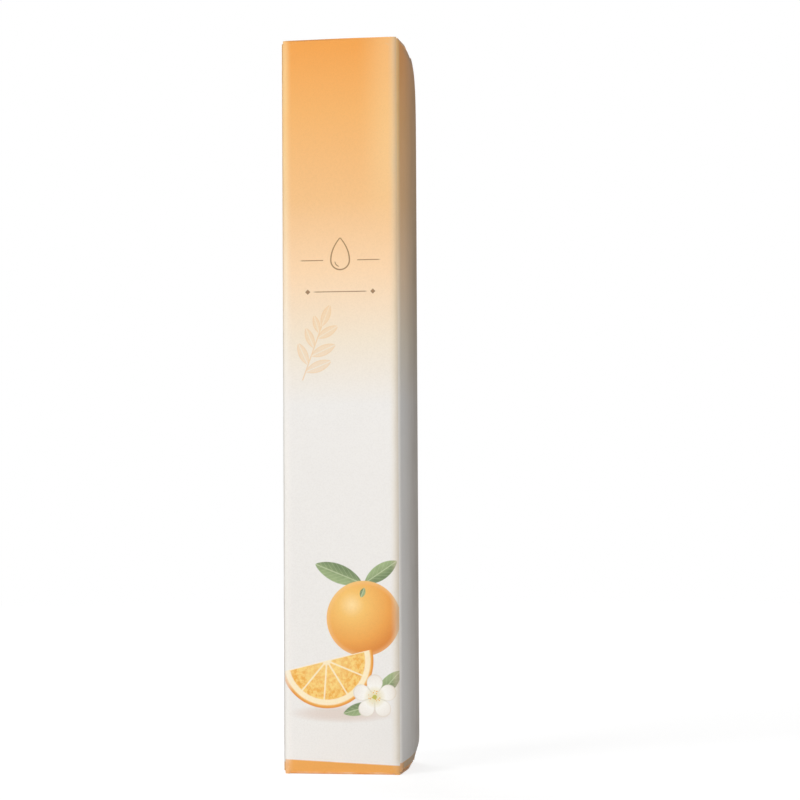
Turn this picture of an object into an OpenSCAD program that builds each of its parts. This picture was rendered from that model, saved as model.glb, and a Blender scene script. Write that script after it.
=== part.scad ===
// Tuck-end paperboard carton with the twist-up nail oil pen that stands in it.
// Millimetres. The origin is the middle of the base, +Z is up and the printed front faces -Y.

/* [Carton] */
// Thickness of the paperboard
board = 0.4; // [0.3:0.05:0.5]
// Outer radius of the upright folds
fold_r = 0.9; // [0.7:0.1:1.2]
// Room between the pen and the walls, left and right
side_room = 4.5; // [3.6:0.1:6]
// Room between the pen and the walls, front and back
depth_room = 4.5; // [3.6:0.1:6]
// Empty height above the pen
headroom = 17.2; // [14:0.2:24]

/* [Closures] */
// Length of the tuck flaps
tuck_len = 6.25; // [5:0.25:8]
// Radius of a tuck flap's free corners
tuck_corner_r = 2.5; // [1:0.25:3.5]
// Play between a tuck flap and the wall that it slides behind
tuck_play = 0.75; // [0.5:0.05:0.9]
// Play between a tuck flap and the glue flap, and as much at the other side
tuck_side_play = 0.15; // [0.1:0.05:0.4]
// Play of a lid at each side of the carton
lid_side_play = 0.35; // [0.25:0.05:0.6]
// Length of the dust flaps
dust_len = 6.5; // [5.5:0.25:7]
// Height between a lid and the dust flaps under it
nest_gap = 0.12; // [0.08:0.02:0.2]
// Play between a dust flap and the tuck flap beside it
dust_front_play = 0.5; // [0.4:0.05:0.9]
// Distance from a dust flap's root to its lid's crease
dust_rear_inset = 1.4; // [1.2:0.1:2]
// How much the free end of a dust flap is cut back from its root
dust_rear_taper = 6; // [5:0.25:8]
// Play between the two bevelled edges of a crease
crease_gap = 0.04; // [0.02:0.01:0.08]

/* [Glue seam] */
// Width of the glue flap
glue_w = 7; // [5:0.5:9]
// Distance of the glue flap from the ends of the carton
glue_end_inset = 2; // [1.5:0.25:5]
// How far the glue flap's ends slope
glue_slope = 1.5; // [0.5:0.25:3]
// Distance of the left panel's raw edge from the back of the carton
seam_reveal = 0.45; // [0.3:0.05:0.8]

/* [Pen barrel] */
// Length of the pen with its cap on
pen_len = 120.7; // [114:0.1:132]
// Outer diameter of the barrel, knob and cap
pen_d = 13; // [12.5:0.25:14]
// Wall of the barrel
barrel_wall = 1; // [0.8:0.05:1.2]
// Thickness of the wrapped label
label_t = 0.1; // [0.05:0.01:0.2]
// Height of the wrapped label
label_h = 40; // [25:1:60]
// Bare barrel under the label
label_inset = 5; // [2:0.5:12]
// Gap under the standing pen
rest_gap = 0.05; // [0.02:0.01:0.1]
// Radial play of what turns or slides in the pen
running_play = 0.05; // [0.03:0.01:0.08]

/* [Twist drive] */
// Height of the knob
knob_h = 10; // [8:0.5:13]
// Floor of the knob under the screw
knob_floor = 1.2; // [0.8:0.1:2]
// Bevel round the knob's foot
knob_bevel = 0.6; // [0.3:0.1:1]
// Radius of the finger grooves
groove_r = 0.35; // [0.2:0.05:0.5]
// Plain band above and below the finger grooves
groove_inset = 1.6; // [1:0.1:2.5]
// Gap between the knob and the barrel
knob_gap = 0.15; // [0.1:0.01:0.3]
// Height of the knob's collar in the barrel
collar_h = 6; // [4:0.5:8]
// Thickness of the click ring
click_w = 0.9; // [0.8:0.05:1.2]
// Height of the click ring
click_h = 3; // [2:0.25:4]
// Radius of the click ring's notches and of the two pawls
pawl_r = 0.5; // [0.3:0.05:0.6]
// Play between the pawls and the click ring
pawl_play = 0.1; // [0.06:0.02:0.2]
// Diameter of the lead screw
screw_d = 4.5; // [4:0.1:5]
// Width across the screw's two flats
screw_flats = 3.6; // [3.2:0.1:3.8]
// Stretch of screw that stays in the driver at full travel
screw_hold = 5.5; // [4:0.5:8]
// Gap under the lead screw
screw_foot_gap = 0.3; // [0.2:0.05:0.6]
// Height of the thread nut
nut_h = 4; // [3:0.25:6]
// Gap above and below the thread nut
nut_gap = 0.5; // [0.3:0.05:0.8]

/* [Piston] */
// Height of the piston
piston_h = 6.5; // [6:0.25:9]
// Radius of the seal ring's section
seal_r = 0.6; // [0.4:0.05:0.7]
// Play round the seal ring's section
seal_play = 0.04; // [0.02:0.01:0.08]
// Diameter of the button on the screw's end
button_d = 5.4; // [5.2:0.1:6]
// Height of the button on the screw's end
button_h = 1.2; // [0.8:0.1:1.6]
// Piston under the button
button_seat = 2.5; // [2:0.1:3]
// Gap between the piston at full travel and the neck plug
stop_gap = 1; // [0.5:0.1:2]
// Gap at both ends of the oil
oil_gap = 0.05; // [0.03:0.01:0.1]

/* [Neck and brush] */
// Height of the neck plug in the barrel
plug_h = 4.5; // [3:0.25:6]
// Height of the flange between barrel and cap
flange_h = 1; // [0.8:0.1:1.6]
// Height of the neck
neck_h = 6.5; // [5:0.25:9]
// Rise of the neck's snap bead
bead_rise = 0.15; // [0.1:0.01:0.2]
// Height of the neck's snap bead
bead_h = 1; // [0.6:0.1:1.5]
// Height of the ring seal round the neck's foot
ring_h = 0.8; // [0.5:0.1:1.2]
// Width of the ring seal's section
ring_w = 0.45; // [0.3:0.05:0.5]
// Diameter of the brush holder's root
holder_d = 5.2; // [4.8:0.1:5.6]
// Diameter of the brush holder's mouth
holder_mouth_d = 4.4; // [4.1:0.1:4.8]
// Height of the brush holder above the neck
holder_h = 8; // [6:0.5:11]
// Depth of the brush holder in the neck
holder_depth = 6; // [4:0.25:6.5]
// Width of the holder's collar beyond its root
holder_collar = 0.6; // [0.4:0.1:0.8]
// Height of the holder's collar
holder_collar_h = 0.8; // [0.5:0.1:1.2]
// Diameter of the feed tube
feed_d = 2; // [1.8:0.1:2.2]
// Wall of the feed tube
feed_wall = 0.4; // [0.3:0.05:0.5]
// How far the feed tube stands in the bristles above the holder
feed_rise = 1; // [0.5:0.25:3]
// Depth of the bristles' root in the holder
root_depth = 3; // [2:0.25:5]
// Diameter of the bristles' root
root_d = 3.4; // [3.2:0.1:3.6]
// Height of the bristles above the holder
bristle_h = 12; // [9:0.5:14]
// Diameter of the bristles where the tuft is widest
tuft_d = 4.2; // [3.6:0.1:4.6]
// Diameter of the tuft's rounded tip
tip_d = 1.4; // [0.8:0.1:2]

/* [Cap] */
// Wall of the cap
cap_wall = 0.8; // [0.6:0.05:0.9]
// Wall of the cap's crown
crown_wall = 1.2; // [0.8:0.1:1.8]
// Rise of the domed crown
crown_rise = 5; // [3:0.25:6]
// Room in the cap above the bristles
tip_room = 2; // [1:0.25:4]
// Gap between the cap and the flange
cap_gap = 0.1; // [0.06:0.01:0.2]
// Thickness of the inner cap
liner_w = 0.45; // [0.4:0.05:0.6]
// Play between the inner cap and the snap bead
snap_play = 0.1; // [0.06:0.01:0.15]
// Thickness of the inner cap's web
web_h = 1; // [0.8:0.1:1.5]
// Play between the inner cap's web and the brush holder
web_play = 0.5; // [0.3:0.1:0.8]

/* [Hidden] */

// Smoothness of the round shapes
round_fn = 64;
// Notches in the click ring, and finger grooves on the knob
notch_count = 12;
groove_count = 24;
// Cuts run past what they cut by this much
overrun = 0.5;

// Colours
print_orange = "#F3AE62";
print_white = "#EEEBE6";
raw_board = "#DDD8CC";
clear_plastic = "#DCE9EE";
cap_white = "#F2F0EC";
metal_grey = "#B9BDC2";
seal_dark = "#4A4E55";
oil_amber = "#F0A53A";
hair_brown = "#5A3B26";

// Radii in the pen, from its wall inwards
pen_r = pen_d / 2;
bore_r = pen_r - barrel_wall;
run_r = bore_r - running_play;
click_bore_r = bore_r - click_w;
driver_r = click_bore_r - pawl_play - pawl_r;
screw_r = screw_d / 2;
button_r = button_d / 2;
liner_r = pen_r - cap_wall;
liner_bore_r = liner_r - liner_w;
bead_r = liner_bore_r - snap_play;
neck_r = bead_r - bead_rise;
holder_r = holder_d / 2;
holder_mouth_r = holder_mouth_d / 2;
feed_r = feed_d / 2;
root_r = root_d / 2;

// The screw's way in the driver and the piston's way in the barrel are equal, and share
// what the other pieces leave of the pen's length
drive_h = knob_floor + screw_foot_gap + screw_hold + 2 * nut_gap + nut_h + piston_h + stop_gap;
brush_h = plug_h + flange_h + neck_h + holder_h + bristle_h + tip_room + crown_wall;
piston_travel = (pen_len - drive_h - brush_h) / 2;

// Heights in the pen, up from the floor of the carton
closure_stack = board + nest_gap + board;
pen_z = closure_stack + rest_gap;
collar_z = pen_z + knob_h;
driver_z = collar_z + collar_h;
click_z = driver_z + knob_gap;
barrel_z = collar_z + knob_gap;
screw_z = pen_z + knob_floor + screw_foot_gap;
driver_top = screw_z + piston_travel + screw_hold;
nut_z = driver_top + nut_gap;
piston_z = nut_z + nut_h + nut_gap;
button_z = piston_z + button_seat;
screw_top = button_z + button_h;
piston_top = piston_z + piston_h;
plug_z = piston_top + piston_travel + stop_gap;
barrel_top = plug_z + plug_h;
neck_z = barrel_top + flange_h;
neck_top = neck_z + neck_h;
bead_z = neck_z + neck_h / 2;
holder_z = neck_top - holder_depth;
holder_top = neck_top + holder_h;
root_z = holder_top - root_depth;
bristle_top = holder_top + bristle_h;
cap_z = neck_z + cap_gap;
crown_z = bristle_top + tip_room;
pen_top = crown_z + crown_wall;

// Outside of the carton, drawn round the standing pen
carton_w = pen_d + 2 * (side_room + board);
carton_d = pen_d + 2 * (depth_room + board);
carton_h = pen_top + headroom + closure_stack;
half_w = carton_w / 2;
half_d = carton_d / 2;

// Flat stretches of the walls between the upright folds
flat_x = half_w - fold_r;
flat_y = half_d - fold_r;

// A side wall ends at the outer crease of its dust flap, one nest under the lid
side_base = board + nest_gap;
side_h = carton_h - 2 * side_base;

// A lid reaches from its crease to the tuck flap's outer face
tuck_y = -half_d + board + tuck_play;
lid_x = half_w - lid_side_play;
lid_root_x = flat_x - crease_gap;
tuck_x = half_w - 2 * board - tuck_side_play;
dust_front_y = tuck_y + board + dust_front_play;
dust_root_y = half_d - dust_rear_inset;
dust_free_y = dust_root_y - dust_rear_taper;

// The same thing at the other end of the carton, back to front, as in a reverse tuck
module turned() {
    translate([0, 0, carton_h]) rotate([180, 0, 0]) children();
}

// Draws an outline of [y, z] points as a bar along X, centred on the carton
module bar_x(outline, length) {
    rotate([90, 0, 90]) linear_extrude(height = length, center = true) polygon(outline);
}

// Draws an outline of [x, z] points as a bar along Y, centred on the carton
module bar_y(outline, length) {
    rotate([90, 0, 0]) linear_extrude(height = length, center = true) polygon(outline);
}

// One of the eight eighths of a round bend, as tall as its wall: two make a fold
module fold_half(eighth, height) {
    reach = 2 * fold_r;
    linear_extrude(height = height) intersection() {
        difference() {
            circle(r = fold_r, $fn = round_fn);
            circle(r = fold_r - board, $fn = round_fn);
        }
        rotate(45 * eighth) polygon([[0, 0], [reach, 0], [reach, reach]]);
    }
}

// Takes the bevel of the bottom crease off the front wall
module front_bevel() {
    reach = 2 * fold_r;
    bar_x([
        [-half_d - overrun, -overrun],
        [-half_d + reach, reach],
        [-half_d + reach, -overrun]
    ], carton_w);
}

// Takes the bevel of a dust flap's crease off a right-hand wall, at the bottom
module side_bevel() {
    reach = 2 * fold_r;
    bar_y([
        [half_w + overrun, side_base - overrun],
        [half_w - reach, side_base + reach],
        [half_w - reach, side_base - overrun]
    ], carton_d);
}

module both_ends() {
    children();
    turned() children();
}

module front_panel() color(print_orange) difference() {
    union() {
        translate([-flat_x, -half_d, 0]) cube([2 * flat_x, board, carton_h]);
        translate([flat_x, -flat_y, 0]) fold_half(-2, carton_h);
        translate([-flat_x, -flat_y, 0]) fold_half(-3, carton_h);
    }
    front_bevel();
}

module right_panel() color(print_white) difference() {
    translate([0, 0, side_base]) union() {
        translate([half_w - board, -flat_y, 0]) cube([board, 2 * flat_y, side_h]);
        translate([flat_x, -flat_y, 0]) fold_half(-1, side_h);
        translate([flat_x, flat_y, 0]) fold_half(0, side_h);
    }
    both_ends() side_bevel();
}

module back_panel() color(print_white) difference() {
    union() {
        translate([-flat_x + board, half_d - board, 0])
            cube([2 * flat_x - board, board, carton_h]);
        translate([flat_x, flat_y, 0]) fold_half(1, carton_h);
        translate([-flat_x + board, flat_y, 0]) fold_half(2, carton_h);
    }
    turned() front_bevel();
}

module left_panel() color(print_white) difference() {
    translate([0, 0, side_base]) union() {
        translate([-half_w, -flat_y, 0])
            cube([board, flat_y + half_d - seam_reveal, side_h]);
        translate([-flat_x, -flat_y, 0]) fold_half(4, side_h);
    }
    mirror([1, 0, 0]) both_ends() side_bevel();
}

module glue_flap() color(raw_board) {
    flap_h = carton_h - 2 * glue_end_inset;
    translate([0, 0, glue_end_inset]) {
        translate([-flat_x + board, flat_y, 0]) fold_half(3, flap_h);
        translate([-half_w + board, flat_y, 0]) rotate([0, -90, 180])
            linear_extrude(height = board) polygon([
                [0, 0], [flap_h, 0], [flap_h - glue_slope, glue_w], [glue_slope, glue_w]
            ]);
    }
}

// A lid lies flat on the carton and is cut back beside its crease to clear the folds
module lid() {
    root_step = lid_x - lid_root_x;
    intersection() {
        bar_x([
            [half_d - crease_gap, carton_h],
            [half_d - board - crease_gap, carton_h - board],
            [tuck_y + board + crease_gap, carton_h - board],
            [tuck_y + crease_gap, carton_h]
        ], 2 * lid_x);
        linear_extrude(height = carton_h) polygon([
            [-lid_x, tuck_y], [lid_x, tuck_y], [lid_x, half_d - root_step],
            [lid_root_x, half_d], [-lid_root_x, half_d], [-lid_x, half_d - root_step]
        ]);
    }
}

// A tuck flap hangs from the lid's front crease and has two round corners
module tuck_flap() {
    free_z = carton_h - tuck_len;
    corner_x = tuck_x - tuck_corner_r;
    corner_z = free_z + tuck_corner_r;
    intersection() {
        bar_x([
            [tuck_y, carton_h - crease_gap],
            [tuck_y + board, carton_h - board - crease_gap],
            [tuck_y + board, free_z],
            [tuck_y, free_z]
        ], 2 * tuck_x);
        translate([0, tuck_y + board, 0]) rotate([90, 0, 0]) linear_extrude(height = board) {
            translate([-tuck_x, corner_z]) square([2 * tuck_x, tuck_len - tuck_corner_r]);
            translate([-corner_x, free_z]) square([2 * corner_x, tuck_len]);
            for (side = [-1, 1]) translate([side * corner_x, corner_z])
                circle(r = tuck_corner_r, $fn = round_fn);
        }
    }
}

// A dust flap folds in from the right-hand wall, and its rear edge is cut at a slant
module dust_flap() {
    crease_z = carton_h - side_base;
    free_x = half_w - dust_len;
    intersection() {
        bar_y([
            [half_w - crease_gap, crease_z],
            [half_w - board - crease_gap, crease_z - board],
            [free_x, crease_z - board],
            [free_x, crease_z]
        ], carton_d);
        linear_extrude(height = carton_h) polygon([
            [half_w, dust_front_y], [half_w, dust_root_y],
            [free_x, dust_free_y], [free_x, dust_front_y]
        ]);
    }
}

module top_lid() color(print_orange) lid();
module top_tuck_flap() color(print_orange) tuck_flap();
module top_dust_flap_right() color(raw_board) dust_flap();
module top_dust_flap_left() color(raw_board) mirror([1, 0, 0]) dust_flap();
module bottom_closure() color(print_orange) turned() lid();
module bottom_tuck_flap() color(print_orange) turned() tuck_flap();
module bottom_dust_flap_right() color(raw_board) turned() dust_flap();
module bottom_dust_flap_left() color(raw_board) turned() mirror([1, 0, 0]) dust_flap();

// A round tube from one height to another
module tube(from, to, outer_r, inner_r) {
    translate([0, 0, from]) difference() {
        cylinder(h = to - from, r = outer_r, $fn = round_fn);
        translate([0, 0, -overrun])
            cylinder(h = to - from + 2 * overrun, r = inner_r, $fn = round_fn);
    }
}

// A round bar with two flats, as of the lead screw and of the hole that turns it
module flatted_bar(from, to, bar_r, flats) {
    translate([0, 0, from]) intersection() {
        cylinder(h = to - from, r = bar_r, $fn = round_fn);
        translate([-flats / 2, -bar_r, 0]) cube([flats, 2 * bar_r, to - from]);
    }
}

module barrel() color(clear_plastic) tube(barrel_z, barrel_top, pen_r, bore_r);

module barrel_label() color(print_orange)
    tube(barrel_z + label_inset, barrel_z + label_inset + label_h, pen_r + label_t, pen_r);

module twist_knob() color(cap_white) difference() {
    union() {
        rotate_extrude($fn = round_fn) polygon([
            [0, pen_z], [pen_r - knob_bevel, pen_z], [pen_r, pen_z + knob_bevel],
            [pen_r, collar_z], [run_r, collar_z], [run_r, driver_z],
            [driver_r, driver_z], [driver_r, driver_top], [0, driver_top]
        ]);
        for (turn = [0, 180]) rotate(turn) translate([driver_r, 0, driver_z])
            cylinder(h = click_h, r = pawl_r, $fn = round_fn);
    }
    flatted_bar(pen_z + knob_floor, driver_top + overrun,
        screw_r + running_play, screw_flats + 2 * running_play);
    for (i = [0 : groove_count - 1]) rotate(i * 360 / groove_count)
        translate([pen_r + groove_r / 2, 0, pen_z + groove_inset])
            cylinder(h = knob_h - 2 * groove_inset, r = groove_r, $fn = round_fn);
}

module click_ring() color(metal_grey) difference() {
    tube(click_z, click_z + click_h, bore_r, click_bore_r);
    for (i = [0 : notch_count - 1]) rotate(i * 360 / notch_count)
        translate([click_bore_r, 0, click_z - overrun])
            cylinder(h = click_h + 2 * overrun, r = pawl_r, $fn = round_fn);
}

module thread_nut() color(cap_white)
    tube(nut_z, nut_z + nut_h, bore_r, screw_r + running_play);

module lead_screw() color(metal_grey) {
    flatted_bar(screw_z, button_z, screw_r, screw_flats);
    translate([0, 0, button_z]) cylinder(h = button_h, r = button_r, $fn = round_fn);
}

// Middle of the groove that holds the piston's seal, above the button's pocket
seal_z = (screw_top + piston_top) / 2 + running_play;
seal_ring_r = run_r - seal_r;
seal_floor_r = seal_ring_r - seal_r - seal_play;
seal_half_h = seal_r + seal_play;

module piston() color(seal_dark) difference() {
    translate([0, 0, piston_z]) cylinder(h = piston_h, r = run_r, $fn = round_fn);
    translate([0, 0, piston_z - overrun])
        cylinder(h = button_seat + 2 * overrun, r = screw_r + running_play, $fn = round_fn);
    translate([0, 0, button_z - running_play])
        cylinder(h = button_h + 2 * running_play, r = button_r + running_play, $fn = round_fn);
    tube(seal_z - seal_half_h, seal_z + seal_half_h, bore_r, seal_floor_r);
}

module piston_ring() color(metal_grey) translate([0, 0, seal_z])
    rotate_extrude($fn = round_fn) translate([seal_ring_r, 0]) circle(r = seal_r, $fn = round_fn);

module oil_fill() color(oil_amber) translate([0, 0, piston_top + oil_gap])
    cylinder(h = plug_z - piston_top - 2 * oil_gap, r = run_r, $fn = round_fn);

module neck_plug() color(cap_white) difference() {
    rotate_extrude($fn = round_fn) polygon([
        [0, plug_z], [bore_r, plug_z], [bore_r, barrel_top], [pen_r, barrel_top],
        [pen_r, neck_z], [neck_r, neck_z], [neck_r, bead_z - bead_h / 2],
        [bead_r, bead_z - bead_rise], [bead_r, bead_z + bead_rise],
        [neck_r, bead_z + bead_h / 2], [neck_r, neck_top], [0, neck_top]
    ]);
    translate([0, 0, plug_z - overrun])
        cylinder(h = holder_z - plug_z + 2 * overrun, r = feed_r, $fn = round_fn);
    translate([0, 0, holder_z])
        cylinder(h = holder_depth + overrun, r = holder_r, $fn = round_fn);
}

module neck_ring() color(seal_dark) tube(neck_z, neck_z + ring_h, neck_r + ring_w, neck_r);

module brush_holder() color(clear_plastic) difference() {
    rotate_extrude($fn = round_fn) polygon([
        [0, holder_z], [holder_r, holder_z], [holder_r, neck_top],
        [holder_r + holder_collar, neck_top],
        [holder_r + holder_collar, neck_top + holder_collar_h],
        [holder_r, neck_top + holder_collar_h], [holder_mouth_r, holder_top], [0, holder_top]
    ]);
    translate([0, 0, holder_z - overrun])
        cylinder(h = holder_top - holder_z, r = feed_r, $fn = round_fn);
    translate([0, 0, root_z])
        cylinder(h = root_depth + overrun, r = root_r, $fn = round_fn);
}

module feed_tube() color(metal_grey)
    tube(plug_z, holder_top + feed_rise, feed_r, feed_r - feed_wall);

module brush_bristles() color(hair_brown) difference() {
    rotate_extrude($fn = round_fn) polygon([
        [0, root_z], [root_r, root_z], [root_r, holder_top],
        [tuft_d / 2, holder_top + bristle_h / 3], [tuft_d / 2, bristle_top - bristle_h / 3],
        [tip_d / 2, bristle_top], [0, bristle_top]
    ]);
    translate([0, 0, root_z - overrun])
        cylinder(h = root_depth + feed_rise + overrun, r = feed_r, $fn = round_fn);
}

// The crown is a slice of a sphere that meets the round wall at the shoulder
crown_sphere_r = (pen_r * pen_r + crown_rise * crown_rise) / (2 * crown_rise);
shoulder_z = pen_top - crown_rise;

module cap_form(wall_r, sphere_r, from) {
    rotate_extrude($fn = round_fn) {
        translate([0, from]) square([wall_r, shoulder_z - from]);
        intersection() {
            translate([0, shoulder_z]) square([wall_r, crown_rise]);
            translate([0, pen_top - crown_sphere_r]) circle(r = sphere_r, $fn = 2 * round_fn);
        }
    }
}

module cap_shell() color(cap_white) difference() {
    cap_form(pen_r, crown_sphere_r, cap_z);
    cap_form(liner_r, crown_sphere_r - crown_wall, cap_z - overrun);
}

// The inner cap grips the bead, and its web lies on top of the neck
module cap_liner() color(cap_white) {
    foot_z = neck_z + ring_h + cap_gap;
    web_z = neck_top + cap_gap;
    tube(foot_z, web_z, liner_r, liner_bore_r);
    tube(web_z, web_z + web_h, liner_r, holder_r + holder_collar + web_play);
}

front_panel();
right_panel();
back_panel();
left_panel();
glue_flap();
top_lid();
top_tuck_flap();
top_dust_flap_right();
top_dust_flap_left();
bottom_closure();
bottom_tuck_flap();
bottom_dust_flap_right();
bottom_dust_flap_left();
barrel();
barrel_label();
twist_knob();
click_ring();
thread_nut();
lead_screw();
piston();
piston_ring();
oil_fill();
neck_plug();
neck_ring();
brush_holder();
feed_tube();
brush_bristles();
cap_shell();
cap_liner();
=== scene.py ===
"""Looks of the nail oil pen's tuck-end carton, and of the twist-up brush pen in it.

Lengths in the making are millimetres, in the frame of the CAD model. A finished mesh is scaled to metres.
"""

import random
from functools import partialmethod
from math import asin, atan2, cos, exp, hypot, pi, radians, sin, sqrt

import bmesh
import bpy
from bmesh import ops
from mathutils import Matrix, Vector


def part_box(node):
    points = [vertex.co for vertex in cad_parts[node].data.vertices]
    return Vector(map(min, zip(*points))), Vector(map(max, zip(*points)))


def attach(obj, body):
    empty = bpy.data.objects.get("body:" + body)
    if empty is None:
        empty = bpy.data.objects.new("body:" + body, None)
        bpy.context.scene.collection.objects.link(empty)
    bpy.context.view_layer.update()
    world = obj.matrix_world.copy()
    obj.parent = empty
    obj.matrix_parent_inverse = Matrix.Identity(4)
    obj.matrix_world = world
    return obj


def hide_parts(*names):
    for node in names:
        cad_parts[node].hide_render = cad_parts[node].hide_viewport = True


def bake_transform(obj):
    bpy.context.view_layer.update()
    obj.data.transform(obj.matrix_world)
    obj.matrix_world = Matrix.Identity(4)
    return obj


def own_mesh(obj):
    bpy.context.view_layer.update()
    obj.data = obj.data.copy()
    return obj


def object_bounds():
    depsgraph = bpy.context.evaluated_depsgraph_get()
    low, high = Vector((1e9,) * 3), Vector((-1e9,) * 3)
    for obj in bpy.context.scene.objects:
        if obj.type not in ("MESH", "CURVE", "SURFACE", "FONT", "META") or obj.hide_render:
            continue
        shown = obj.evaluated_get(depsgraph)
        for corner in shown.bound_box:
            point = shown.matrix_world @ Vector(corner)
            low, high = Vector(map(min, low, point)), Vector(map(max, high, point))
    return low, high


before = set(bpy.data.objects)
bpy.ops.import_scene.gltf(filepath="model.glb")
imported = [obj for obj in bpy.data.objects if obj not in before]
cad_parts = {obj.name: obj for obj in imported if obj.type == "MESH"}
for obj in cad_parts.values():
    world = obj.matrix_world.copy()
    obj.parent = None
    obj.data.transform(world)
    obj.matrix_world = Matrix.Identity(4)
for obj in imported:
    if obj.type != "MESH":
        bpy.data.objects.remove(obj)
cad_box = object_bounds()

MM = 0.001


def node_box(node):
    """The two corners of a CAD node's box, in millimetres."""
    low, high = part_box(node)
    return low / MM, high / MM


# The carton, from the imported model. The glue flap lies behind the left wall, one board's thickness in.
tall = cad_box[1].z / MM
half = cad_box[1].x / MM
glue_low, glue_high = node_box("glue_flap")
board = half + glue_low.x
side_low = node_box("right_panel")[0].z
side_high = tall - side_low
lid_front = node_box("top_lid")[0].y
lid_half = node_box("top_lid")[1].x
tuck_low = node_box("top_tuck_flap")[0].z
tuck_half = node_box("top_tuck_flap")[1].x
dust_low, dust_high = node_box("top_dust_flap_right")
dust_free, dust_front, dust_rear = dust_low.x, dust_low.y, dust_high.y

# The upright folds have this outer radius, and the walls are flat up to here from the middle
fold = 1.3
flat = half - fold
# A crease is a quarter bend with this outer radius, and the board's thickness less inside
bend = board + 0.05


def placed(name, data):
    """An object of some data, in the scene."""
    made = bpy.data.objects.new(name, data)
    bpy.context.scene.collection.objects.link(made)
    return made


def ink(red, green, blue):
    """A colour in 0 to 255, as the linear colour that a shader takes."""
    share = [c / 255 for c in (red, green, blue)]
    linear = [c / 12.92 if c < 0.04045 else ((c + 0.055) / 1.055) ** 2.4 for c in share]
    return (*linear, 1)


WHITE = (1, 1, 1, 1)
# A print's coating reflects little, and its orange ink is this pale where it is thin
COATING = {"Specular IOR Level": 0.12}
THIN_INK = ink(249, 226, 172)
# The label is drawn in millimetres along this radius
LABEL_RADIUS = 6.6


class Layer:
    """A socket of a finish. An expression on it adds its Math nodes."""

    def __init__(self, finish, socket):
        self.finish = finish
        self.socket = socket

    def other(self, name):
        return Layer(self.finish, self.socket.node.outputs[name])

    def math(self, operation, *values):
        return self.finish.add("Math", dict(enumerate((self, *values))), operation=operation)

    def __rsub__(self, value):
        return self.finish.add("Math", {0: value, 1: self}, operation="SUBTRACT")

    def fade(self, start, end):
        """0 before start and 1 past end, eased, the other way round if end is the lower."""
        sockets = {"Value": self, "From Min": start, "From Max": end}
        return self.finish.add("MapRange", sockets, interpolation_type="SMOOTHSTEP")


# The Math node that an operator or a method of a Layer adds
for name, operation in {
    "__add__": "ADD", "__sub__": "SUBTRACT", "__mul__": "MULTIPLY", "__truediv__": "DIVIDE", "__pow__": "POWER",
    "__mod__": "FLOORED_MODULO", "__abs__": "ABSOLUTE", "least": "MINIMUM", "most": "MAXIMUM",
}.items():
    setattr(Layer, name, partialmethod(Layer.math, operation))


class Finish:
    """A material, or the world, in the making. self.at is the place on the object in millimetres, and
    self.colour is the colour so far."""

    def __init__(self, name, makers=bpy.data.materials):
        self.made = makers.new(name)
        self.made.use_nodes = True
        self.tree = self.made.node_tree
        self.tree.nodes.clear()
        place = self.add("TexCoord", out="Object")
        self.at = self.add("Mapping", {"Vector": place, "Scale": (1000, 1000, 1000)})
        self.x = self.add("SeparateXYZ", {"Vector": self.at})
        self.y = self.x.other("Y")
        self.z = self.x.other("Z")

    def add(self, kind, sockets=None, out=0, **settings):
        """Adds a node. Each of its sockets named here gets a Layer or a value."""
        made = self.tree.nodes.new("ShaderNode" + kind)
        for name, value in settings.items():
            setattr(made, name, value)
        for name, value in (sockets or {}).items():
            if isinstance(value, Layer):
                self.tree.links.new(value.socket, made.inputs[name])
            else:
                made.inputs[name].default_value = value
        if out is not None:
            return Layer(self, made.outputs[out])

    def blend(self, share, under, over):
        """The colour under, with the colour over laid on it by share."""
        return self.add("Mix", {0: share, 6: under, 7: over}, 2, data_type="RGBA")

    def lay(self, share, *over):
        """Lays a colour, or one of red, green and blue in 0 to 255, over the colour so far by share."""
        over = ink(*over) if len(over) == 3 else over[0]
        self.colour = self.blend(share, self.colour, over)

    def ramp(self, value, *stops):
        """The colour at a value, between stops of (place, red, green, blue)."""
        made = self.add("ValToRGB", {"Fac": value})
        elements = made.socket.node.color_ramp.elements
        while len(elements) < len(stops):
            elements.new(1)
        for element, (place, *colour) in zip(elements, stops):
            element.position, element.color = place, ink(*colour)
        return made

    def grain(self, scale, detail=3, drawn=None, rough=0.5):
        """Noise with about this many grains a millimetre, longer along an axis that is drawn below 1."""
        place = self.add("Mapping", {"Vector": self.at, "Scale": drawn}) if drawn else self.at
        return self.add("TexNoise", {"Vector": place, "Scale": scale, "Detail": detail, "Roughness": rough})

    def cells(self, scale):
        return self.add("TexVoronoi", {"Vector": self.at, "Scale": scale})

    def bump(self, height, depth, under=None):
        """A bump of a height from 0 to 1, with a depth in millimetres."""
        sockets = {"Height": height, "Distance": depth * MM, "Strength": 1}
        if under is not None:
            sockets["Normal"] = under
        return self.add("Bump", sockets)

    def seen(self):
        """1 for what the camera sees, also in gloss or through glass, and 0 for what only gives light."""
        path = self.add("LightPath", out="Is Camera Ray")
        return path.most(path.other("Is Glossy Ray")).most(path.other("Is Transmission Ray"))

    def shade(self, rough, normal, others=None):
        sockets = {"Base Color": self.colour, "Roughness": rough, "Normal": normal, **(others or {})}
        return self.close(self.add("BsdfPrincipled", sockets))

    def close(self, shader, output="OutputMaterial"):
        self.add(output, {"Surface": shader}, None)
        return self.made


# Prints on the carton. Every shape is drawn in millimetres across and up its panel.


def disc(x, z, centre_x, centre_z):
    """Distance from a point on the panel."""
    return ((x - centre_x) ** 2 + (z - centre_z) ** 2) ** 0.5


def turned_to(x, z, centre_x, centre_z, degrees):
    """The place measured from a point, along and across a direction."""
    c, s = cos(radians(degrees)), sin(radians(degrees))
    along = (x - centre_x) * c + (z - centre_z) * s
    return along, (z - centre_z) * c - (x - centre_x) * s


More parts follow.
